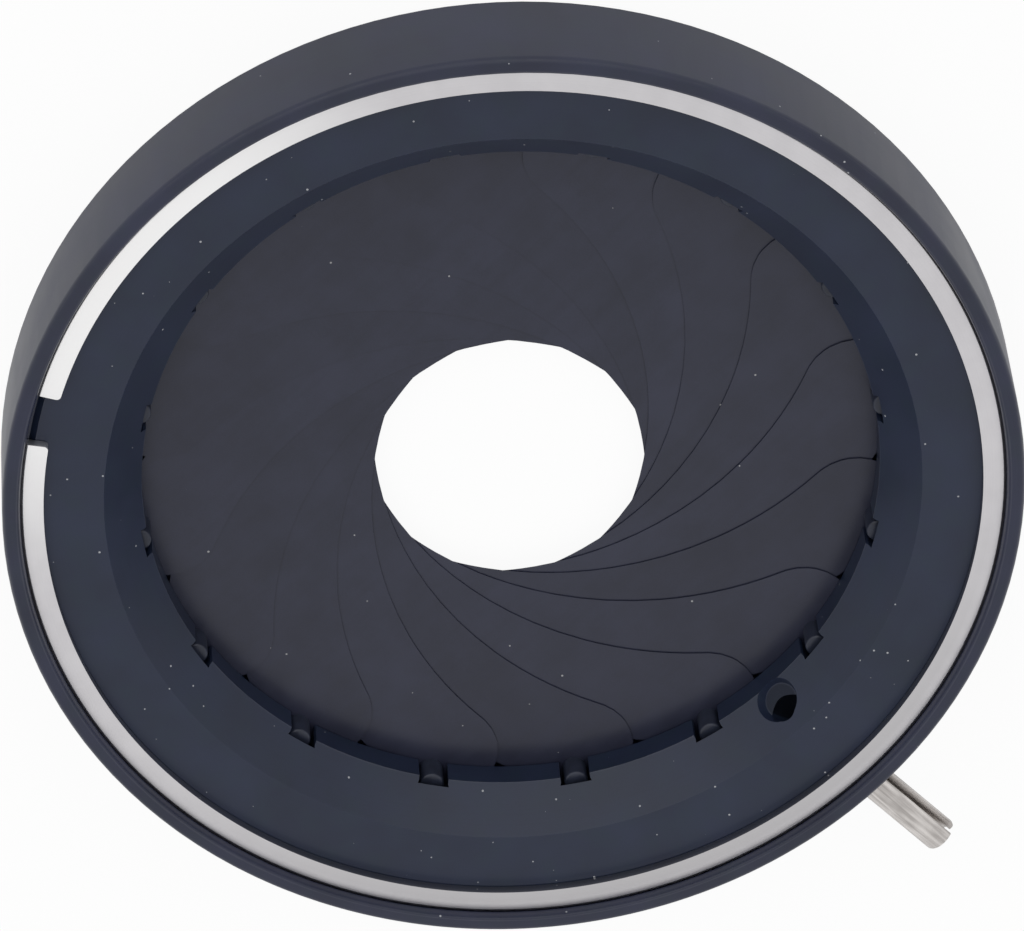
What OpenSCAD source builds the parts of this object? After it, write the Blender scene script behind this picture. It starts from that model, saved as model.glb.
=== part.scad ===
// Iris diaphragm: a shallow round housing, a drive ring with a lever, and a
// ring of thin blades that close round the optical axis as the drive ring turns.
// The optical axis is Z, the back face lies on z = 0, the front looks up and
// the lever points along +X at rest.  Millimetres.

/* [Housing] */
// Outside diameter of the housing
body_d = 70; // [56:1:90]
// Thickness of the housing along the optical axis
body_h = 8.3; // [7:0.1:11]
// Side wall round the drive ring
wall_t = 1.5; // [1.2:0.1:3]
// Floor that carries the blade pivots
floor_t = 0.5; // [0.4:0.1:1.5]
// Step that the drive ring turns on, measured inwards from the side wall
ledge_w = 0.35; // [0.25:0.05:1]
// Bevel on the outer edges of the housing
edge_bevel = 0.3; // [0.1:0.05:0.6]
// Rim of the floor window behind the fully open blades
window_margin = 0.5; // [0.3:0.1:1.5]
// Depth of the snap ring groove in the side wall
groove_depth = 0.55; // [0.3:0.05:0.8]

/* [Blades] */
// Number of blades
blade_count = 16; // [12:1:18]
// Thickness of one blade
blade_t = 0.04; // [0.03:0.005:0.045]
// Width of a blade between its two arcs
blade_w = 7.4; // [6:0.1:9]
// Angle between the two pins of a blade, seen from the centre of its arcs
blade_span = 133.75; // [128:0.25:138]
// Angle by which the middle of a blade's round end lies past its pin
end_overhang = -0.5; // [-1:0.25:2]
// Distance of both pins from the outer arc of the blade
pin_inset = 1.9; // [1.6:0.1:3]
// Rise from one closed blade to the next
blade_step = 0.07; // [0.065:0.005:0.12]
// How much steeper the rise gets towards the two ends of a blade
end_steepness = 0.08; // [0.06:0.01:0.12]
// Opening across the flats at rest
rest_aperture = 18.4; // [6:0.1:40]
// Smallest opening across the flats
min_aperture = 2; // [1:0.5:6]

/* [Pins] */
// Diameter of a drive pin, which runs in the drive ring
drive_pin_d = 1.7; // [1.2:0.1:2.2]
// How far a drive pin reaches into its slot
drive_pin_reach = 1.9; // [1.4:0.05:2.2]
// Diameter of a pivot pin, which turns in the floor
pivot_pin_d = 1.2; // [0.8:0.1:1.8]
// Diameter of the rivet end that holds a pin in its blade
rivet_d = 0.8; // [0.5:0.1:1]

/* [Drive ring] */
// Radial width of the cone round the window
cone_w = 2.65; // [1:0.05:4]
// Depth of the cone
cone_depth = 3; // [1.5:0.1:3.3]
// Bevel on the outer front edge of the ring
ring_bevel = 0.4; // [0.1:0.05:0.8]
// Rim of the ring window in front of the fully open blades
ring_margin = 0.4; // [0.2:0.1:1]
// Depth of a slot
slot_depth = 2.45; // [2.3:0.05:2.8]
// Blade turn for one degree of ring turn
swing_ratio = 0.46; // [0.45:0.005:0.48]

/* [Lever] */
// Diameter of the spring pin used as a lever
lever_d = 2.5; // [2:0.1:3]
// Angle that the lever stands ahead of the middle between two slots
lever_lead = 1.1; // [-3:0.1:3]
// Length of the spring pin
lever_l = 14; // [10:0.5:20]
// Length of the spring pin outside the housing
lever_out = 8; // [4:0.5:14]
// Depth of the lever axis below the flat face of the drive ring
lever_drop = 2.05; // [1.6:0.05:2.3]
// Wall of the spring pin
lever_wall = 0.5; // [0.3:0.05:0.7]
// Width of the slit along the spring pin
lever_slit = 0.45; // [0.2:0.05:0.8]
// Direction that the slit faces, up from the side of the lever
lever_slit_angle = 38; // [0:1:359]
// Width of the sink in the cone, where the lever's bore comes out
sink_w = 3.1; // [2.6:0.1:3.6]
// Depth of the sink, square to the cone
sink_depth = 0.6; // [0.3:0.05:0.8]

/* [Snap ring] */
// Thickness of the snap ring
snap_t = 0.8; // [0.5:0.05:1]
// Radial width of the snap ring
snap_w = 1.8; // [1.2:0.1:2.5]
// Depth of the snap ring below the front rim
snap_recess = 0.75; // [0.4:0.05:1]
// Angle of the gap in the snap ring
snap_gap = 6.7; // [4:0.1:12]
// Direction of the middle of the gap
snap_gap_at = 211.8; // [0:0.1:359]

/* [Clearances] */
// Radial clearance of everything that turns
run_clear = 0.05; // [0.02:0.01:0.1]
// Axial play of the drive ring on each side
ring_play = 0.04; // [0.02:0.01:0.1]
// Space between the blades and the floor, and the blades and the drive ring
blade_play = 0.05; // [0.03:0.01:0.1]
// Space between the outer arc of an open blade and the chamber wall
blade_margin = 0.75; // [0.3:0.05:1.5]
// Least space between a swinging blade end and the chamber wall
swing_margin = 0.12; // [0.1:0.01:0.3]
// Space round a drive pin in its slot
slot_clear = 0.18; // [0.1:0.01:0.3]
// Space round the lever in its window in the side wall
lever_clear = 0.25; // [0.15:0.05:0.5]
// Space round the snap ring in its groove
groove_clear = 0.05; // [0.02:0.01:0.1]
// Space round a rivet end in its blade
rivet_clear = 0.02; // [0.01:0.005:0.03]

/* [Hidden] */
$fn = 96;
over = 1;
drill_angle = 118;
sweep_short = 0.3;
pitch_angle = 360 / blade_count;

// Radii of the housing and of the parts that run in it.
body_r = body_d / 2;
bore_r = body_r - wall_t;
chamber_r = bore_r - ledge_w;
ring_r = bore_r - run_clear;

// A blade is a slice of a ring: its arcs share the centre that lies on the
// optical axis when the iris is fully open, and both pins sit on one circle.
blade_out_r = chamber_r - blade_margin;
blade_in_r = blade_out_r - blade_w;
blade_mid_r = (blade_in_r + blade_out_r) / 2;
blade_end_r = blade_w / 2;
pin_circle_r = blade_out_r - pin_inset;
window_r = blade_in_r + window_margin;
ring_window_r = blade_in_r + ring_margin;

// The blade's own plan: its arcs are centred on [0, 0], and its middle lies
// along X.  The pivot end is at -Y and the drive end is at +Y.
half_span = blade_span / 2;
pivot_at = pin_circle_r * [cos(half_span), -sin(half_span)];
drive_at = pin_circle_r * [cos(half_span), sin(half_span)];

// Swing of a blade from fully open, for an opening across the flats.
function swing_for(aperture) = 2 * asin((blade_in_r - aperture / 2) / (2 * pin_circle_r));
rest_swing = swing_for(rest_aperture);
full_swing = swing_for(min_aperture);

function turned(v, a) = [v.x * cos(a) - v.y * sin(a), v.x * sin(a) + v.y * cos(a)];
function angle_of(v) = atan2(v.y, v.x);

// Where the optical axis passes through the blade's plan at a given swing.
function axis_at(swing) = pivot_at - turned(pivot_at, -swing);
closed_axis = axis_at(full_swing);
closed_dir = angle_of(closed_axis);

// Distance along a ray from the closed axis to the near or far side of a circle.
function ray(a) = [cos(closed_dir + a), sin(closed_dir + a)];
function to_centre(a, c) = ray(a) * (c - closed_axis);
function half_chord(a, c, r) = sqrt(max(0, r * r - pow(norm(c - closed_axis), 2) + pow(to_centre(a, c), 2)));
function near_side(a, c, r) = to_centre(a, c) - half_chord(a, c, r);
function far_side(a, c, r) = to_centre(a, c) + half_chord(a, c, r);

// The round ends of a blade, and the directions in which they are seen.
half_reach = half_span + end_overhang;
function end_at(side) = blade_mid_r * [cos(half_reach), side * sin(half_reach)];
function end_dir(side) = angle_of(end_at(side) - closed_axis) - closed_dir;
function end_reach(side) = asin(blade_end_r / norm(end_at(side) - closed_axis));
function end_ray(side, t) = end_dir(side) + side * asin(sin(end_reach(side)) * sin(t));
function beyond_span(v) = abs(angle_of(v)) > half_reach;

// The inner and outer edge of a blade along a ray from the closed axis.  The
// outer edge also keeps clear of the chamber wall through the whole swing.
trim_r = chamber_r - swing_margin;
trim_axes = [for (i = [0 : 4]) axis_at(full_swing * i / 4)];
function arc_or_end(a, arc, end) = beyond_span(closed_axis + arc * ray(a)) ? end : arc;
function inner_edge(a) =
    arc_or_end(a, far_side(a, [0, 0], blade_in_r), near_side(a, end_at(sign(a)), blade_end_r));
function outer_edge(a) =
    min(concat(
        [arc_or_end(a, far_side(a, [0, 0], blade_out_r), far_side(a, end_at(sign(a)), blade_end_r))],
        [for (c = trim_axes) far_side(a, c, trim_r)]
    ));

// The rays that a blade is built on: even steps over its middle, and steps
// round its ends that close up towards the tip.
middle_steps = 32;
middle_reach = 90;
flank_steps = 7;
end_steps = 10;
end_first = -42;
end_last = 86;
function flank(side) = [
    for (i = [1 : flank_steps])
        let (join = end_ray(side, end_first))
        side * middle_reach + (join - side * middle_reach) * i / (flank_steps + 1)
];
function tip(side) = [
    for (i = [0 : end_steps]) end_ray(side, end_first + (end_last - end_first) * i / end_steps)
];
function reversed(list) = [for (i = [len(list) - 1 : -1 : 0]) list[i]];
blade_rays = concat(
    reversed(tip(-1)),
    reversed(flank(-1)),
    [for (i = [0 : middle_steps]) middle_reach * (2 * i / middle_steps - 1)],
    flank(1),
    tip(1)
);

// Heights.  Each blade is a shallow screw surface about the closed optical
// axis, so the blades pass over one another like the steps of a spiral stair.
function rise_at(a) = blade_step / pitch_angle * a * (1 + end_steepness * pow(a * PI / 180, 2));
blade_rise = max(rise_at(blade_rays[len(blade_rays) - 1]), -rise_at(blade_rays[0]));
blade_z = floor_t + blade_play + blade_t / 2 + blade_rise;
ring_z = blade_z + blade_rise + blade_t / 2 + blade_play;
ring_top_z = body_h - snap_recess - snap_t - ring_play;
snap_z = ring_top_z + ring_play;
ledge_z = ring_z - ring_play;
lever_z = ring_top_z - lever_drop;
lever_start = body_r + lever_out - lever_l;
function height_at(v) = blade_z + rise_at(angle_of(turned(v - closed_axis, -closed_dir)));

// The path of a drive pin, seen from the turning drive ring.  The slot lies
// on X and the path is followed for a turn of the ring away from rest.
ring_open = -rest_swing / swing_ratio;
ring_closed = (full_swing - rest_swing) / swing_ratio;
function swung_drive(swing) = pivot_at + turned(drive_at - pivot_at, swing);
drive_dir = angle_of(swung_drive(rest_swing));
function slot_path(turn) = turned(swung_drive(rest_swing + swing_ratio * turn), -turn - drive_dir);

// A slot is parallel from the window to where its pin comes nearest to the
// optical axis, and wide enough there for the pin to turn the corner.
slot_steps = 60;
slot_points = [
    for (i = [0 : slot_steps])
        slot_path(ring_open + (ring_closed - ring_open) * i / slot_steps)
];
slot_half = drive_pin_d / 2 + slot_clear;
neck_r = min([for (p = slot_points) p.x]);
neck_points = [for (p = slot_points) if (p.x < neck_r + slot_half) p];
function half_at_neck(p) = sqrt(pow(slot_half, 2) - pow(p.x - neck_r, 2));
neck_low = min([for (p = neck_points) p.y - half_at_neck(p)]);
neck_high = max([for (p = neck_points) p.y + half_at_neck(p)]);
slot_end_r = max([for (p = slot_points) norm(p)]) + slot_half;

// Direction of the first drive pin at rest: the lever stands near the middle
// between two slots.
first_drive_at = pitch_angle / 2 - lever_lead;

function piece_name(base, k) = str(base, k < 10 ? "_0" : "_", k);

// ---- Housing ----

module bevelled_disc(r, h, bevel) {
    rotate_extrude()
        polygon([[0, 0], [r - bevel, 0], [r, bevel], [r, h - bevel], [r - bevel, h], [0, h]]);
}

// The window that the lever sweeps through.  The swept cut stops just short of
// the middle of the round ends.
module lever_window() {
    r = lever_d / 2 + lever_clear;
    translate([0, 0, lever_z]) {
        rotate([0, 0, ring_open + sweep_short])
            rotate_extrude(angle = ring_closed - ring_open - 2 * sweep_short)
                translate([bore_r - over, -r])
                    square([wall_t + 2 * over, 2 * r]);
        for (a = [ring_open, ring_closed])
            rotate([0, 0, a])
                translate([bore_r - over, 0, 0])
                    rotate([90, 0, 90])
                        cylinder(r = r, h = wall_t + 2 * over);
    }
}

module housing() {
    color([0.23, 0.24, 0.28])
        difference() {
            bevelled_disc(body_r, body_h, edge_bevel);
            translate([0, 0, -over])
                cylinder(r = window_r, h = body_h + 2 * over);
            translate([0, 0, floor_t])
                cylinder(r = chamber_r, h = body_h);
            translate([0, 0, ledge_z])
                cylinder(r = bore_r, h = body_h);
            translate([0, 0, snap_z - groove_clear])
                cylinder(r = bore_r + groove_depth, h = snap_t + 2 * groove_clear);
            lever_window();
            for (k = [1 : blade_count])
                on_pivot(k)
                    translate([0, 0, -over])
                        cylinder(d = pivot_pin_d + 2 * run_clear, h = floor_t + 2 * over);
        }
}

// ---- Drive ring ----

// The plan of a drive pin's slot, open towards the window.  It is parallel
// there, and then widens to take in the pin's way out to both ends of its travel.
module slot_plan() {
    polygon([
        [ring_window_r - over, neck_low],
        [neck_r, neck_low],
        side_end([neck_r, neck_low], -1),
        side_end([neck_r, neck_high], 1),
        [neck_r, neck_high],
        [ring_window_r - over, neck_high]
    ]);
}

// The outer end of the slot's side that starts at p and leans just clear of the
// whole way of the pin.
function side_end(p, side) =
    let (
        leans = [
            for (c = slot_points)
                if (norm(c - p) > slot_half) side * angle_of(c - p) + asin(slot_half / norm(c - p))
        ],
        x = slot_end_r + over
    )
    [x, p.y + side * (x - p.x) * tan(max(leans))];

module slots() {
    translate([0, 0, ring_z - over])
        intersection() {
            cylinder(r = slot_end_r, h = slot_depth + over);
            for (k = [1 : blade_count])
                rotate([0, 0, first_drive_at + (k - 1) * pitch_angle])
                    translate([0, 0, -over])
                        linear_extrude(slot_depth + 3 * over)
                            slot_plan();
        }
}

// The lever's bore ends in the cone of the drill's tip, where it meets a sink
// cut square to the cone of the ring.
module lever_bore() {
    r = lever_d / 2;
    cone_angle = atan(cone_depth / cone_w);
    surface_r = ring_window_r + (lever_z - ring_top_z + cone_depth) / tan(cone_angle);
    tip_l = r / tan(drill_angle / 2);
    flare = (sink_w / 2 - r) / sink_depth;
    translate([surface_r, 0, lever_z]) {
        rotate([0, 90, 0])
            rotate_extrude()
                polygon([[0, 0], [r, tip_l], [r, body_r], [0, body_r]]);
        rotate([0, -cone_angle, 0])
            translate([0, 0, -sink_depth])
                cylinder(r1 = r, r2 = sink_w / 2 + flare * over, h = sink_depth + over);
    }
}

module drive_ring() {
    color([0.21, 0.22, 0.25])
        difference() {
            rotate_extrude()
                polygon([
                    [ring_window_r, ring_z],
                    [ring_r, ring_z],
                    [ring_r, ring_top_z - ring_bevel],
                    [ring_r - ring_bevel, ring_top_z],
                    [ring_window_r + cone_w, ring_top_z],
                    [ring_window_r, ring_top_z - cone_depth]
                ]);
            slots();
            lever_bore();
        }
}

// ---- Lever ----

module lever_pin() {
    bevel = lever_d / 10;
    r = lever_d / 2;
    color([0.72, 0.69, 0.68])
        translate([lever_start, 0, lever_z])
            rotate([0, 90, 0])
                rotate([0, 0, 90 + lever_slit_angle])
                    difference() {
                        bevelled_disc(r, lever_l, bevel);
                        translate([0, 0, -over])
                            cylinder(r = r - lever_wall, h = lever_l + 2 * over);
                        translate([0, -lever_slit / 2, -over])
                            cube([lever_d, lever_slit, lever_l + 2 * over]);
                    }
}

// ---- Snap ring ----

module snap_ring() {
    outer = bore_r + groove_depth - groove_clear;
    color([0.80, 0.79, 0.81])
        rotate([0, 0, snap_gap_at + snap_gap / 2])
            rotate_extrude(angle = 360 - snap_gap)
                translate([outer - snap_w, snap_z])
                    square([snap_w, snap_t]);
}

// ---- Blades ----

// Puts a blade's plan in its place at rest.
module at_rest(k) {
    rotate([0, 0, first_drive_at + (k - 1) * pitch_angle - drive_dir])
        translate(pivot_at)
            rotate([0, 0, rest_swing])
                translate(-pivot_at)
                    children();
}

// Puts something on the pivot of a blade.
module on_pivot(k) {
    at_rest(k)
        translate(pivot_at)
            children();
}

module blade_sheet() {
    count = len(blade_rays);
    points = [
        for (a = blade_rays, reach = [inner_edge(a), outer_edge(a)], side = [-1, 1])
            let (v = closed_axis + reach * ray(a))
            [v.x, v.y, blade_z + rise_at(a) + side * blade_t / 2]
    ];
    // Each ray carries four corners: inner low, inner high, outer low, outer high.
    strip = [
        for (i = [0 : count - 2])
            let (p = 4 * i, q = 4 * i + 4)
            each [
                [p + 1, q + 1, p + 3], [p + 3, q + 1, q + 3],
                [p, p + 2, q], [p + 2, q + 2, q],
                [p, q, q + 1, p + 1],
                [p + 2, p + 3, q + 3, q + 2]
            ]
    ];
    last = 4 * count - 4;
    ends = [[0, 1, 3, 2], [last, last + 2, last + 3, last + 1]];
    polyhedron(points, concat(strip, ends), convexity = 4);
}

module rivet_hole(v) {
    translate([v.x, v.y, floor_t])
        rotate([0, 0, 15])
            cylinder(r = (rivet_d / 2 + rivet_clear) / cos(15), h = ring_z - floor_t, $fn = 12);
}

module blade(k) {
    color([0.26, 0.26, 0.29])
        at_rest(k)
            difference() {
                blade_sheet();
                rivet_hole(pivot_at);
                rivet_hole(drive_at);
            }
}

// ---- Pins ----

// A stepped pin: a body on one side of the blade and a rivet end through it.
module stepped_pin(body_pin_d, low, high, rivet_low, rivet_high) {
    translate([0, 0, low])
        cylinder(d = body_pin_d, h = high - low);
    translate([0, 0, rivet_low])
        cylinder(d = rivet_d, h = rivet_high - rivet_low);
}

// Lift of a pin's shoulder, so that it bears on the high side of the sloping blade.
function seat_lift(v, d) =
    let (reach = norm(v - closed_axis), a = abs(angle_of(turned(v - closed_axis, -closed_dir))))
    (rise_at(a + atan(d / 2 / reach)) - rise_at(a));

module drive_pin(k) {
    seat = height_at(drive_at) + blade_t / 2 + seat_lift(drive_at, drive_pin_d);
    color([0.35, 0.35, 0.38])
        at_rest(k)
            translate(drive_at)
                stepped_pin(drive_pin_d, seat, ring_z + drive_pin_reach, seat - blade_t, seat + blade_t);
}

module pivot_pin(k) {
    seat = height_at(pivot_at) - blade_t / 2 - seat_lift(pivot_at, pivot_pin_d);
    color([0.35, 0.35, 0.38])
        on_pivot(k)
            stepped_pin(pivot_pin_d, edge_bevel / 2, seat, seat - blade_t, seat + blade_t);
}

housing();
drive_ring();
lever_pin();
snap_ring();
for (k = [1 : blade_count]) {
    blade(k);
    drive_pin(k);
    pivot_pin(k);
}
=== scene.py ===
# %% [markdown]
# # Iris diaphragm
# A shallow round housing holds a drive ring and sixteen thin blades, and a
# snap ring keeps the drive ring in.  The construction gives every solid its
# place and its motion.  This lesson remodels the small bright parts with finer
# edges, gives each piece its surface, and lights it all like a small product
# on white paper.

# %% Load the construction
import math

import bmesh
import bpy
from mathutils import Matrix, Vector


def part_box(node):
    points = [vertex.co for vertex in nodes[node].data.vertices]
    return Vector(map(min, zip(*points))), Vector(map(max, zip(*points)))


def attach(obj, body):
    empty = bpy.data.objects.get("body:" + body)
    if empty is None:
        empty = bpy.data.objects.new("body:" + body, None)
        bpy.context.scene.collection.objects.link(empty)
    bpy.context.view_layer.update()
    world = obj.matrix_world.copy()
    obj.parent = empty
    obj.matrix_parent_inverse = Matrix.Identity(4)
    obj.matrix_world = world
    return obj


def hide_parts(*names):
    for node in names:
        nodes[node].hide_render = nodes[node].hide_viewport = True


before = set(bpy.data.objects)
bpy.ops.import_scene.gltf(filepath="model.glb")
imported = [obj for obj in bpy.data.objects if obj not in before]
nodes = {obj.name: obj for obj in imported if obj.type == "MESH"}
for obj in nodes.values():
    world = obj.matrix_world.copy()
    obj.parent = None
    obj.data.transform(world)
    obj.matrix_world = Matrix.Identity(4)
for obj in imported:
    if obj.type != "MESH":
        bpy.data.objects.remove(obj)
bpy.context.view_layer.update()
scene = bpy.context.scene

# %% [markdown]
# ## Sizes that the looks need
# The scene is in metres and the object's sizes are easier to read in
# millimetres, so one factor turns them.  The edges that catch light or wear
# lie on circles round the optical axis, and a few radii and heights say where
# they are.

# %% Sizes
MM = 0.001
BODY_R = 35.0
BODY_H = 8.3
BORE_R = 33.5
WINDOW_R = 25.4
RING_TOP = 6.71
RING_INNER_EDGE = 3.71
GROOVE_TOP = 7.60
MOUTH_R = 34.02
BLADE_COUNT = 16
print("housing", 2 * BODY_R, "x", BODY_H, "mm")

# %% [markdown]
# ## Camera
# The iris lies on its back and the camera looks down on it from a long way
# off, a little to one side of the optical axis, through a long lens.  A turn
# about the view axis and a tilt fix where it looks from.

# %% Camera
IMAGE_W = 1024
FOCAL_PX = 8713.77
SENSOR = 36.0
VIEW_SCALE = 0.9915 * MM
ROLL = math.radians(6.19872)
TILT = math.radians(31.60237)
LEVER_AT = math.radians(50.35)
view_turn = Matrix.Rotation(ROLL, 3, "Z") @ Matrix.Rotation(TILT, 3, "X")
view_shift = Vector((0.23260, -2.99234, -600.0)) * VIEW_SCALE
lever_turn = Matrix.Rotation(LEVER_AT, 3, "Z")
looking = lever_turn @ view_turn.transposed()
place = Vector((0, 0, BODY_H * MM)) - looking @ view_shift

camera_data = bpy.data.cameras.new("camera")
camera_data.sensor_width = SENSOR
camera_data.lens = FOCAL_PX / IMAGE_W * SENSOR
camera_data.clip_start = 0.01
camera_data.clip_end = 10
camera = bpy.data.objects.new("camera", camera_data)
camera.matrix_world = Matrix.Translation(place) @ looking.to_4x4()
scene.collection.objects.link(camera)
scene.camera = camera
print("camera at", [round(c, 3) for c in place], "lens", round(camera_data.lens, 1))

# %% [markdown]
# ## Making a piece
# Every new piece is built in millimetres in its own bmesh.  One helper turns it
# to metres, merges its doubles, points its faces outwards, smooths the faces
# that meet at a shallow angle, and hangs it on the body that it moves with.  It
# also hides the construction solid that the piece stands for.

# %% Finish off a piece
SAME_PLACE = 1e-7
SHARP_ANGLE = 32.0


def piece_from(mesh_edit, name, body, replaced, sharp=SHARP_ANGLE):
    bmesh.ops.scale(mesh_edit, vec=(MM, MM, MM), verts=mesh_edit.verts)
    bmesh.ops.remove_doubles(mesh_edit, verts=mesh_edit.verts, dist=SAME_PLACE)
    bmesh.ops.recalc_face_normals(mesh_edit, faces=mesh_edit.faces)
    for face in mesh_edit.faces:
        face.smooth = True
    for edge in mesh_edit.edges:
        if len(edge.link_faces) == 2:
            edge.smooth = edge.calc_face_angle() < math.radians(sharp)
    mesh = bpy.data.meshes.new(name)
    mesh_edit.to_mesh(mesh)
    mesh_edit.free()
    piece = bpy.data.objects.new(name, mesh)
    scene.collection.objects.link(piece)
    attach(piece, body)
    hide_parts(replaced)
    print("piece", name, len(mesh.polygons), "faces")
    return piece


# %% [markdown]
# ## Housing with a rounded mouth
# The mouth of the housing is taken to be eased, which would help the snap ring
# in past it.  It could be turned again from a profile, but then the window for
# the lever and the pivot holes would be lost.  A merged copy of the
# construction mesh keeps them: level cuts add rings of vertices to the lip, and
# each ring moves onto a quarter of an ellipse, at the mouth and at the rim.

# %% Shapes of the eased edges
MOUTH_FOOT_R = 33.76
EASE_HIGH = 0.6
EASE_WIDE = 0.45
LIP_CUTS = (0.25, 0.45, 0.62, 0.76, 0.87, 0.95)


def eased_mouth(height):
    up = (height - GROOVE_TOP) / (BODY_H - GROOVE_TOP)
    return MOUTH_R - (MOUTH_R - MOUTH_FOOT_R) * math.sqrt(max(0.0, 1 - up * up))


def eased_rim(height):
    up = (height - BODY_H + EASE_HIGH) / EASE_HIGH
    return BODY_R - EASE_WIDE * (1 - math.sqrt(max(0.0, 1 - up * up)))


print("mouth", MOUTH_FOOT_R, "to", MOUTH_R, "rim", BODY_R, "to", BODY_R - EASE_WIDE)

# %% Housing
shell = bmesh.new()
shell.from_mesh(nodes["housing"].data)
bmesh.ops.remove_doubles(shell, verts=shell.verts, dist=1e-6)
bmesh.ops.scale(shell, vec=(1 / MM, 1 / MM, 1 / MM), verts=shell.verts)
for cut in LIP_CUTS:
    level = GROOVE_TOP + cut * (BODY_H - GROOVE_TOP)
    bmesh.ops.bisect_plane(
        shell, geom=shell.verts[:] + shell.edges[:] + shell.faces[:], dist=1e-5,
        plane_co=(0, 0, level), plane_no=(0, 0, 1),
    )
moved = 0
for vert in shell.verts:
    radius = vert.co.xy.length
    at_mouth = vert.co.z > GROOVE_TOP - 0.01 and abs(radius - BORE_R) < 0.05
    at_rim = vert.co.z > BODY_H - EASE_HIGH and radius > BODY_R - 0.4
    if at_mouth or at_rim:
        eased = eased_mouth(vert.co.z) if at_mouth else eased_rim(vert.co.z)
        vert.co.xy *= eased / radius
        moved += 1
print("eased vertices", moved)
housing = piece_from(
    shell, "turned_housing", "housing_body", "housing", sharp=20.0,
)

# %% [markdown]
# ## Snap ring
# The snap ring is a flat ring with a gap.  Its edges are slightly rounded, and
# its two ends have round corners.  Its outer top edge is taken to be chamfered,
# which leaves a dark line beside the housing.  The section is spun nearly all the
# way round the axis, which leaves the gap, and two bevels round it: one on the
# inner corners of the ends and a fine one along the edges.

# %% Helpers for sections and edges
def bevel(mesh_edit, edges, width, segments):
    bmesh.ops.bevel(
        mesh_edit, geom=edges, offset=width, offset_type="OFFSET", affect="EDGES",
        segments=segments, profile=0.5, material=-1, clamp_overlap=True,
    )


def section(mesh_edit, corners):
    return mesh_edit.faces.new([mesh_edit.verts.new(corner) for corner in corners])


def spin_solid(mesh_edit, face, centre, axis, angle, steps):
    bmesh.ops.spin(
        mesh_edit, geom=[face], cent=centre, axis=axis, angle=angle,
        steps=steps, use_merge=False, use_duplicate=False,
    )
    bmesh.ops.remove_doubles(mesh_edit, verts=mesh_edit.verts, dist=1e-5)
    bmesh.ops.recalc_face_normals(mesh_edit, faces=mesh_edit.faces)


def corner_edges(mesh_edit, least_angle=1.0):
    return [edge for edge in mesh_edit.edges if edge.calc_face_angle(0.0) > least_angle]


print("helpers ready")

# %% Snap ring
SNAP_IN_R = 32.15
SNAP_OUT_R = 34.0
SNAP_LOW = 6.75
SNAP_HIGH = 7.55
SNAP_CHAMFER = 0.42
SNAP_GAP_AT = math.radians(211.8)
SNAP_GAP = math.radians(6.7)

snap = bmesh.new()
start = Matrix.Rotation(SNAP_GAP_AT + SNAP_GAP / 2, 3, "Z")
snap_section = section(snap, [start @ Vector(corner) for corner in (
    (SNAP_IN_R, 0, SNAP_LOW),
    (SNAP_OUT_R, 0, SNAP_LOW),
    (SNAP_OUT_R, 0, SNAP_HIGH - SNAP_CHAMFER),
    (SNAP_OUT_R - SNAP_CHAMFER, 0, SNAP_HIGH),
    (SNAP_IN_R, 0, SNAP_HIGH),
)])
spin_solid(snap, snap_section, (0, 0, 0), (0, 0, 1), 2 * math.pi - SNAP_GAP, 236)
end_corners = [
    edge for edge in corner_edges(snap)
    if abs(edge.verts[0].co.z - edge.verts[1].co.z) > 0.5
]
print("end corners", len(end_corners))
bevel(snap, end_corners, 0.3, 4)
bevel(snap, corner_edges(snap, 0.6), 0.04, 2)
snap_ring = piece_from(
    snap, "coined_snap_ring", "housing_body", "snap_ring", sharp=25.0,
)

# %% [markdown]
# ## Lever
# The lever is a spring pin: steel strip rolled to a tube that isn't quite
# closed.  Its wall is a long rectangle spun round the lever's own axis, short of
# a full turn, so that the slit is an opening and not a painted line.  It faces up
# and to one side, and the open end has rounded edges.

# %% Lever
LEVER_FROM = 29.0
LEVER_TO = 43.0
LEVER_Z = 4.66
LEVER_R = 1.25
LEVER_WALL = 0.5
SLIT = 0.7
SLIT_FACES = math.radians(22)

lever_mesh = bmesh.new()
lever_axis = Vector((0, 0, LEVER_Z))
half_slit = math.asin(SLIT / 2 / (LEVER_R - LEVER_WALL / 2))
lever_start = Matrix.Rotation(SLIT_FACES + half_slit, 3, "X")
strip = section(lever_mesh, [lever_start @ Vector(corner) + lever_axis for corner in (
    (LEVER_FROM, LEVER_R - LEVER_WALL, 0),
    (LEVER_TO, LEVER_R - LEVER_WALL, 0),
    (LEVER_TO, LEVER_R, 0),
    (LEVER_FROM, LEVER_R, 0),
)])
spin_solid(lever_mesh, strip, lever_axis, (1, 0, 0), 2 * math.pi - 2 * half_slit, 64)


# %% Lever edges
def lever_radius(vert):
    return (vert.co - lever_axis).yz.length


outer_end = [
    edge for edge in corner_edges(lever_mesh)
    if min(v.co.x for v in edge.verts) > LEVER_TO - 0.01
    and min(lever_radius(v) for v in edge.verts) > LEVER_R - 0.01
]
bevel(lever_mesh, outer_end, 0.3, 5)
slit_lips = [
    edge for edge in corner_edges(lever_mesh)
    if abs(edge.verts[0].co.x - edge.verts[1].co.x) > 5
]
bevel(lever_mesh, slit_lips, 0.06, 2)
lever = piece_from(lever_mesh, "rolled_lever", "drive_ring_body", "lever_pin")

# %% [markdown]
# ## Drive pins
# Each blade ends in a pin that runs in a slot of the drive ring.  The pins are
# given an eased top edge, which catches the light.  A short cylinder with its top
# edge bevelled is enough, and the construction solid's box says where it stands.

# %% Drive pins
PIN_EASE = 0.16


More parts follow.
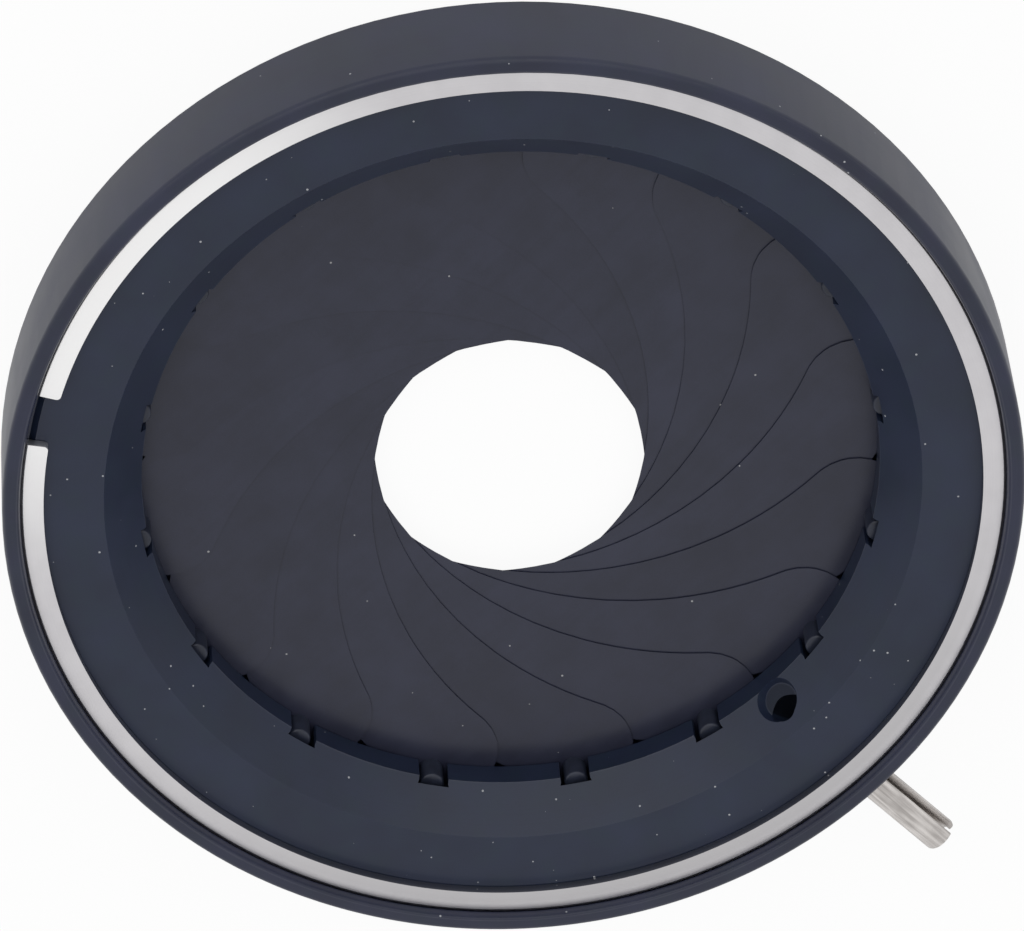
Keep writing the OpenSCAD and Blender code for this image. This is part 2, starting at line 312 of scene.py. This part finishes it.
def turned_pin(number):
    low, high = (Vector(corner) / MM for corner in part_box(f"drive_pin_{number:02d}"))
    radius = (high.x - low.x) / 2
    pin = bmesh.new()
    bmesh.ops.create_cone(
        pin, cap_ends=True, segments=48, radius1=radius, radius2=radius,
        depth=high.z - low.z, matrix=Matrix.Translation((low + high) / 2),
    )
    top_edge = [edge for edge in pin.edges if min(v.co.z for v in edge.verts) > high.z - 0.001]
    bevel(pin, top_edge, PIN_EASE, 4)
    return piece_from(
        pin, f"turned_drive_pin_{number:02d}", f"blade_body_{number:02d}",
        f"drive_pin_{number:02d}", sharp=40.0,
    )


drive_pins = [turned_pin(number) for number in range(1, BLADE_COUNT + 1)]

# %% [markdown]
# ## Shader maths as expressions
# Wear, grain and dust are all masks: numbers that change over a surface.  They
# could be wired node by node, but an expression is easier to read.  A small
# class wraps a socket and overloads the operators, so that `1 - mask` adds its
# own Math node.

# %% Values that vary over a surface
class Value:
    def __init__(self, nodes_of, socket):
        self.nodes_of = nodes_of
        self.socket = socket

    def maths(self, operation, *values):
        inputs = dict(enumerate(values))
        return self.nodes_of.node("ShaderNodeMath", {"operation": operation}, inputs)

    def __add__(self, other):
        return self.maths("ADD", self, other)

    def __sub__(self, other):
        return self.maths("SUBTRACT", self, other)

    def __rsub__(self, other):
        return self.maths("SUBTRACT", other, self)

    def __mul__(self, other):
        return self.maths("MULTIPLY", self, other)

    def __truediv__(self, other):
        return self.maths("DIVIDE", self, other)

    def __rtruediv__(self, other):
        return self.maths("DIVIDE", other, self)

    def __pow__(self, other):
        return self.maths("POWER", self, other)

    def below(self, other):
        return self.maths("LESS_THAN", self, other)

    def larger(self, other):
        return self.maths("MAXIMUM", self, other)

    __radd__ = __add__
    __rmul__ = __mul__


# %% [markdown]
# ## Nodes
# A node tree needs one way in: a method that makes a node of any type, gives it
# its settings, feeds its sockets with values or links, and hands back one of
# its outputs.  Materials, the floor and the light tent all use it.

# %% Nodes
class Nodes:
    def __init__(self, tree):
        self.tree = tree

    def feed(self, socket, value):
        if isinstance(value, Value):
            self.tree.links.new(value.socket, socket)
        else:
            socket.default_value = value

    def node(self, kind, settings, inputs, output=0):
        made = self.tree.nodes.new(kind)
        for key, value in settings.items():
            setattr(made, key, value)
        for key, value in inputs.items():
            self.feed(made.inputs[key], value)
        return Value(self, made.outputs[output])

    def axis(self, letter, vector):
        return self.node("ShaderNodeSeparateXYZ", {}, {"Vector": vector}, letter)

    def between(self, value, low, high, first=0.0, last=1.0):
        return self.node("ShaderNodeMapRange", {"interpolation_type": "SMOOTHSTEP"}, {
            "Value": value, "From Min": low, "From Max": high, "To Min": first, "To Max": last,
        })

    def mix(self, factor, first, second):
        colours = {0: factor, 6: first, 7: second}
        return self.node("ShaderNodeMix", {"data_type": "RGBA"}, colours, 2)

    def vector_maths(self, operation, output, *vectors):
        inputs = dict(enumerate(vectors))
        return self.node("ShaderNodeVectorMath", {"operation": operation}, inputs, output)


# %% [markdown]
# ## A finish
# A finish is a material under construction, for one kind of surface.
# Coordinates are the object's own, turned to millimetres, so a pattern has the
# same scale on every piece.  What is the same all over the surface is set on
# the shader's own sockets at the start.

# %% Finish
class Finish(Nodes):
    def __init__(self, name, **constants):
        self.material = bpy.data.materials.new(name)
        self.material.use_nodes = True
        super().__init__(self.material.node_tree)
        self.shader = self.tree.nodes["Principled BSDF"]
        for socket, value in constants.items():
            self.feed(self.shader.inputs[socket.replace("_", " ")], value)
        self.place = self.node("ShaderNodeMapping", {}, {
            "Vector": self.node("ShaderNodeTexCoord", {}, {}, "Object"),
            "Scale": (1 / MM, 1 / MM, 1 / MM),
        })
        self.x, self.y, self.z = (self.axis(letter, self.place) for letter in "XYZ")
        self.radius = (self.x * self.x + self.y * self.y) ** 0.5

    def noise(self, scale, detail=2.0, vector=None):
        return self.node("ShaderNodeTexNoise", {}, {
            "Vector": vector or self.place, "Scale": scale, "Detail": detail,
        })

    def stretched(self, scale, turn=0.0, shift=(0.0, 0.0, 0.0)):
        return self.node("ShaderNodeMapping", {}, {
            "Vector": self.place, "Location": shift, "Rotation": (0, 0, turn), "Scale": scale,
        })

    def rings(self, pitch):
        across = self.node("ShaderNodeCombineXYZ", {}, {
            "X": self.radius / pitch, "Y": self.z / pitch,
        })
        return self.noise(1.0, 3.0, across)

    def dust(self, cell, share, speck):
        cells = {"Vector": self.place, "Scale": 1 / cell}
        distance = self.node("ShaderNodeTexVoronoi", {}, cells, "Distance")
        lot = self.axis("X", self.node("ShaderNodeTexVoronoi", {}, cells, "Color"))
        return distance.below(self.between(lot, 1 - share, 1.0, 0.0, speck / cell))

    def done(self, colour, roughness, height, strength, depth, metallic=None):
        self.feed(self.shader.inputs["Base Color"], colour)
        self.feed(self.shader.inputs["Roughness"], roughness)
        if metallic:
            self.feed(self.shader.inputs["Metallic"], metallic)
        self.feed(self.shader.inputs["Normal"], self.node("ShaderNodeBump", {}, {
            "Strength": strength, "Distance": depth * MM, "Height": height,
        }))
        print("finish", self.material.name, len(self.tree.nodes), "nodes")
        return self.material


def shades(colour, low, high):
    return (*(low * c for c in colour), 1), (*(high * c for c in colour), 1)


DUST_COLOUR = (0.55, 0.56, 0.58, 1)


# %% [markdown]
# ## Edge wear
# Anodising rubs thin where a turned edge is handled.  Turned edges are circles
# round the axis, so the distance to one needs only a radius and a height, and
# noise makes the worn line come and go.

# %% Edge wear
def edge_wear(finish, edges, width):
    ragged = finish.noise(0.9, 4.0) * finish.noise(0.11, 1.0) * 4.0
    worn = None
    for edge_r, edge_z in edges:
        out = finish.radius - edge_r
        up = finish.z - edge_z
        near = finish.between((out * out + up * up) ** 0.5 / ragged, 0.2 * width, width, 1.0, 0.0)
        worn = worn.larger(near) if worn else near
    return worn


# %% [markdown]
# ## Black anodised aluminium
# The housing and the drive ring are taken to be turned aluminium, anodised a
# blue-black.  The finish is satin: it gives a soft reflection, the colour is a
# little cloudy, the sharp edges are a trace greyer, and dust lies on it.  A dark
# base with a broad highlight gives that, and fine rings, as turning leaves them,
# stop it looking like plastic.

# %% Anodised aluminium
BARE_ALUMINIUM = (0.22, 0.22, 0.24, 1)
# Near-black colour of the painted shade inside the lever's hole.
HOLE_SHADE_COLOUR = (0.014, 0.016, 0.022, 1)


def anodised(name, colour, roughness, edges, dusty, shade_in_hole=None):
    finish = Finish(name, Specular_IOR_Level=0.36)
    cloud = finish.noise(0.16, 3.0)
    grain = finish.noise(14.0, 2.0)
    marks = finish.rings(0.12)
    tone = finish.between(cloud * 0.6 + grain * 0.25 + marks * 0.15, 0.32, 0.68)
    body = finish.mix(tone, *shades(colour, 0.8, 1.2))
    blotches = finish.noise(0.5, 3.0, finish.stretched((1, 1, 1), 0.7, (31, 7, 3)))
    greener = (colour[0], colour[1] * 1.25, colour[2] * 0.95, 1)
    body = finish.mix(finish.between(blotches, 0.4, 0.7) * 0.35, body, greener)
    body = finish.mix(edge_wear(finish, edges, 0.06) * 0.08, body, BARE_ALUMINIUM)
    specks = finish.dust(0.8, dusty, 0.08)
    body = finish.mix(specks * 0.6, body, DUST_COLOUR)
    rough = finish.between(cloud, 0.35, 0.65, roughness - 0.03, roughness + 0.03) + specks * 0.3
    height = grain * 0.5 + marks * 0.5 + specks * 2.0
    metallic = None
    # Where a hole is given, its middle gets painted shade: near black and partly metallic.
    if shade_in_hole:
        metallic = shade_in_hole(finish)
        body = finish.mix(metallic, body, HOLE_SHADE_COLOUR)
    return finish.done(body, rough, height, 0.2, 0.01, metallic)


# %% [markdown]
# The hole that the lever is pressed into shows on the sloping inner side of the
# ring as a countersink with a black middle, where shade falls.  The modelled hole
# isn't left to go dark by itself.  A mask round its own axis paints that shade into
# the middle, partly as a metal with a nearly black colour, which reflects almost
# nothing.

# %% Painted shade in the middle of the lever's hole
HOLE_AT = (26.24, 0.0, 4.66)
HOLE_FACES = (-0.749, 0.0, 0.662)
HOLE_R = 1.22


def painted_hole_shade(finish):
    from_hole = finish.vector_maths("SUBTRACT", "Vector", finish.place, HOLE_AT)
    along = finish.vector_maths("DOT_PRODUCT", "Value", from_hole, HOLE_FACES)
    reach = finish.vector_maths("LENGTH", "Value", from_hole)
    aside = (reach * reach - along * along).larger(0.0) ** 0.5
    return finish.between(aside, HOLE_R - 0.1, HOLE_R, 0.6, 0.0)


housing_finish = anodised("black_anodised_housing", (0.020, 0.023, 0.046), 0.32, [
    (BODY_R, 0.3), (BODY_R - 0.3, 0.0), (BODY_R - 0.12, BODY_H - 0.12), (MOUTH_R, BODY_H),
], 0.12)
ring_finish = anodised("black_anodised_ring", (0.014, 0.020, 0.043), 0.31, [
    (BORE_R - 0.05, RING_TOP - 0.4), (BORE_R - 0.45, RING_TOP), (WINDOW_R, RING_INNER_EDGE),
], 0.4, painted_hole_shade)

# %% [markdown]
# ## Blackened blade steel
# The blades are taken to be foil-thin spring steel, blackened so that they throw
# no light back into the beam.  The coating is a little matter and less blue than
# the anodising, and each blade has its own slight tone and grain direction.

# %% Blade finish
BLADE_COLOUR = (0.020, 0.0222, 0.041)


def blade_finish(number):
    finish = Finish(f"blackened_blade_{number:02d}", Specular_IOR_Level=0.42)
    turn = math.radians(22.5 * number)
    rolled = finish.stretched((1.0, 0.12, 1.0), turn, (17.0 * number, 5.0 * number, 0.0))
    streaks = finish.noise(1.6, 4.0, rolled)
    cloud = finish.noise(0.3, 3.0)
    grain = finish.noise(11.0, 2.0)
    tone = finish.between(cloud * 0.5 + streaks * 0.2 + grain * 0.3, 0.32, 0.68)
    lift = 1.0 + 0.05 * math.sin(2.4 * number)
    body = finish.mix(tone, *shades(BLADE_COLOUR, 0.82 * lift, 1.18 * lift))
    specks = finish.dust(1.1, 0.25, 0.08)
    body = finish.mix(specks * 0.6, body, (0.5, 0.5, 0.5, 1))
    rough = finish.between(streaks, 0.3, 0.7, 0.31, 0.37)
    return finish.done(body, rough, grain * 0.6 + specks * 2.0, 0.15, 0.008)


# %% [markdown]
# ## Bright steel of the snap ring
# The snap ring is taken to be bare steel with a satin face, so its colour is all
# reflection.  Such a ring lights up on one side and dulls on another as it mirrors
# its surroundings.  The plain tent doesn't give that, so two soft masks round the
# axis paint it into the base colour: a painted highlight on one side and a painted
# dark reflection on the other, which stay whatever the light.  Fine rings break up
# the face, and the inner wall is smoother than the face.

# %% Snap ring finish
def coined_steel():
    finish = Finish("coined_snap_ring_steel", Metallic=1.0)
    rings = finish.rings(0.09)
    cloud = finish.noise(0.5, 3.0)

    def towards(degrees):
        side = math.radians(degrees)
        return (finish.x * math.cos(side) + finish.y * math.sin(side)) / finish.radius

    tone = finish.between(cloud * 0.6 + rings * 0.4, 0.3, 0.7)
    body = finish.mix(tone, (0.635, 0.62, 0.64, 1), (0.685, 0.67, 0.69, 1))
    # Painted highlight: the side towards 192 degrees is lightened to near white.
    painted_highlight = finish.between(towards(192.0), 0.70, 0.99)
    body = finish.mix(painted_highlight, body, (0.985, 0.98, 0.98, 1))
    # Painted dark reflection: the side towards 334 degrees is darkened, kept off the outer edge.
    inner = finish.between(finish.radius, 32.7, 33.5, 1.0, 0.0)
    painted_dark_reflection = finish.between(towards(334.0), 0.2, 0.95) * 0.75 * inner
    body = finish.mix(painted_dark_reflection, body, (0.49, 0.48, 0.49, 1))
    pits = finish.dust(1.4, 0.12, 0.05)
    body = finish.mix(pits * 0.5, body, (0.2, 0.19, 0.19, 1))
    face = finish.between(finish.radius, SNAP_IN_R + 0.01, SNAP_IN_R + 0.05, 0.35, 1.0)
    rough = finish.between(rings, 0.3, 0.7, 0.36, 0.44) * face
    return finish.done(body, rough, rings + cloud * 0.2, 0.12, 0.006)


# %% [markdown]
# ## Rolled steel of the lever
# The spring pin has long streaks and a warm grey tone.  Noise stretched along
# the lever gives the streaks in colour, roughness and height together.

# %% Lever finish
def rolled_steel():
    finish = Finish("rolled_spring_pin_steel", Metallic=1.0)
    streaks = finish.noise(3.2, 5.0, finish.stretched((0.06, 1.0, 1.0)))
    cloud = finish.noise(0.5, 3.0)
    tone = finish.between(streaks * 0.75 + cloud * 0.25, 0.32, 0.68)
    body = finish.mix(tone, (0.38, 0.355, 0.34, 1), (0.80, 0.765, 0.74, 1))
    pits = finish.dust(0.7, 0.15, 0.05)
    body = finish.mix(pits * 0.6, body, (0.15, 0.13, 0.12, 1))
    rough = finish.between(streaks, 0.3, 0.7, 0.30, 0.48)
    return finish.done(body, rough, streaks + cloud * 0.2, 0.3, 0.02)


# %% [markdown]
# ## Blued pins
# The drive pins and the pivot pins are taken to be blued steel, which is a dark
# blue-black that reflects about as much as the anodising.  A fine grain breaks up
# the highlight on their small tops.

# %% Pin finish
def blued_pin_steel():
    finish = Finish("blued_pin_steel", Specular_IOR_Level=0.4)
    cloud = finish.noise(1.2, 3.0)
    grain = finish.noise(16.0, 2.0)
    tone = finish.between(cloud * 0.6 + grain * 0.4, 0.3, 0.7)
    body = finish.mix(tone, *shades((0.018, 0.022, 0.038), 0.75, 1.25))
    return finish.done(body, finish.between(grain, 0.3, 0.7, 0.30, 0.40), grain, 0.15, 0.008)


snap_finish = coined_steel()
lever_finish = rolled_steel()
pin_finish = blued_pin_steel()

# %% [markdown]
# ## Dressing the solids
# Each solid gets its finish in its first material slot.  The replaced
# construction solids are dressed too, so that nothing is left plain.

# %% Dress every solid and piece
def dress(node, material):
    node.data.materials.clear()
    node.data.materials.append(material)


for material, solids in (
    (housing_finish, (nodes["housing"], housing)),
    (ring_finish, (nodes["drive_ring"],)),
    (snap_finish, (nodes["snap_ring"], snap_ring)),
    (lever_finish, (nodes["lever_pin"], lever)),
):
    for solid in solids:
        dress(solid, material)
for number, turned in enumerate(drive_pins, start=1):
    dress(nodes[f"blade_{number:02d}"], blade_finish(number))
    for solid in (nodes[f"drive_pin_{number:02d}"], nodes[f"pivot_pin_{number:02d}"], turned):
        dress(solid, pin_finish)

# %% [markdown]
# ## Floor
# The iris lies on white paper.  Seen by the camera the paper is about as white
# as the tent behind it, so it gives off light to camera rays.  In reflections it
# gives off less, which keeps the housing's side wall dark.  What is left is plain
# matt paper, which keeps a trace of the object's shadow.

# %% Floor
FLOOR_HALF = 2.0
FLOOR_Z = -0.02 * MM
floor_mesh = bpy.data.meshes.new("paper_floor")
sheet = bmesh.new()
bmesh.ops.create_grid(
    sheet, x_segments=1, y_segments=1, size=FLOOR_HALF,
    matrix=Matrix.Translation((0, 0, FLOOR_Z)),
)
sheet.to_mesh(floor_mesh)
sheet.free()
floor = bpy.data.objects.new("paper_floor", floor_mesh)
scene.collection.objects.link(floor)
print("floor", floor.name)

# %% Paper
PAPER_GLOW = 0.93
GLOW_IN_REFLECTIONS = 0.4
paper = bpy.data.materials.new("white_paper")
paper.use_nodes = True
paper.node_tree.nodes.remove(paper.node_tree.nodes["Principled BSDF"])
sheet_nodes = Nodes(paper.node_tree)
camera_ray, glossy_ray, through_ray = (
    sheet_nodes.node("ShaderNodeLightPath", {}, {}, f"Is {kind} Ray")
    for kind in ("Camera", "Glossy", "Transmission")
)
matt = sheet_nodes.node("ShaderNodeBsdfDiffuse", {}, {"Color": (0.85, 0.85, 0.85, 1)})
glow = sheet_nodes.node("ShaderNodeEmission", {}, {"Strength": 1.0})
surface = sheet_nodes.node("ShaderNodeMixShader", {}, {
    0: (camera_ray + glossy_ray * GLOW_IN_REFLECTIONS + through_ray) * PAPER_GLOW,
    1: matt,
    2: glow,
})
sheet_nodes.feed(paper.node_tree.nodes["Material Output"].inputs["Surface"], surface)
floor_mesh.materials.append(paper)
print("paper glow", PAPER_GLOW)

# %% [markdown]
# ## Light tent
# A tent lights a small dark part evenly from all round.  The lamp behind the
# cloth stands low on one side, so that side of the tent is brighter, and the
# sloping face of the ring that mirrors it is lighter than the rest.  The camera
# sees the tent as plain white.

# %% World
TENT_LEVEL = 0.86
LAMP_LEVEL = 0.50
LAMP_AZIMUTH = math.radians(147)
LAMP_HEIGHT = math.radians(22)
lamp_from = (
    math.cos(LAMP_HEIGHT) * math.cos(LAMP_AZIMUTH),
    math.cos(LAMP_HEIGHT) * math.sin(LAMP_AZIMUTH),
    math.sin(LAMP_HEIGHT),
)
world = bpy.data.worlds.new("light_tent")
scene.world = world
world.use_nodes = True
tent = Nodes(world.node_tree)
direction = tent.node("ShaderNodeTexCoord", {}, {}, "Generated")
facing = tent.vector_maths("DOT_PRODUCT", "Value", direction, lamp_from)
seen = tent.node("ShaderNodeLightPath", {}, {}, "Is Camera Ray")
level = tent.between(facing, 0.60, 0.97) * LAMP_LEVEL + TENT_LEVEL
cloth = world.node_tree.nodes["Background"]
tent.feed(cloth.inputs["Color"], (1, 1, 1, 1))
tent.feed(cloth.inputs["Strength"], level * (1 - seen) + seen)
scene.view_settings.view_transform = "Standard"
print("tent", TENT_LEVEL, "lamp", LAMP_LEVEL)
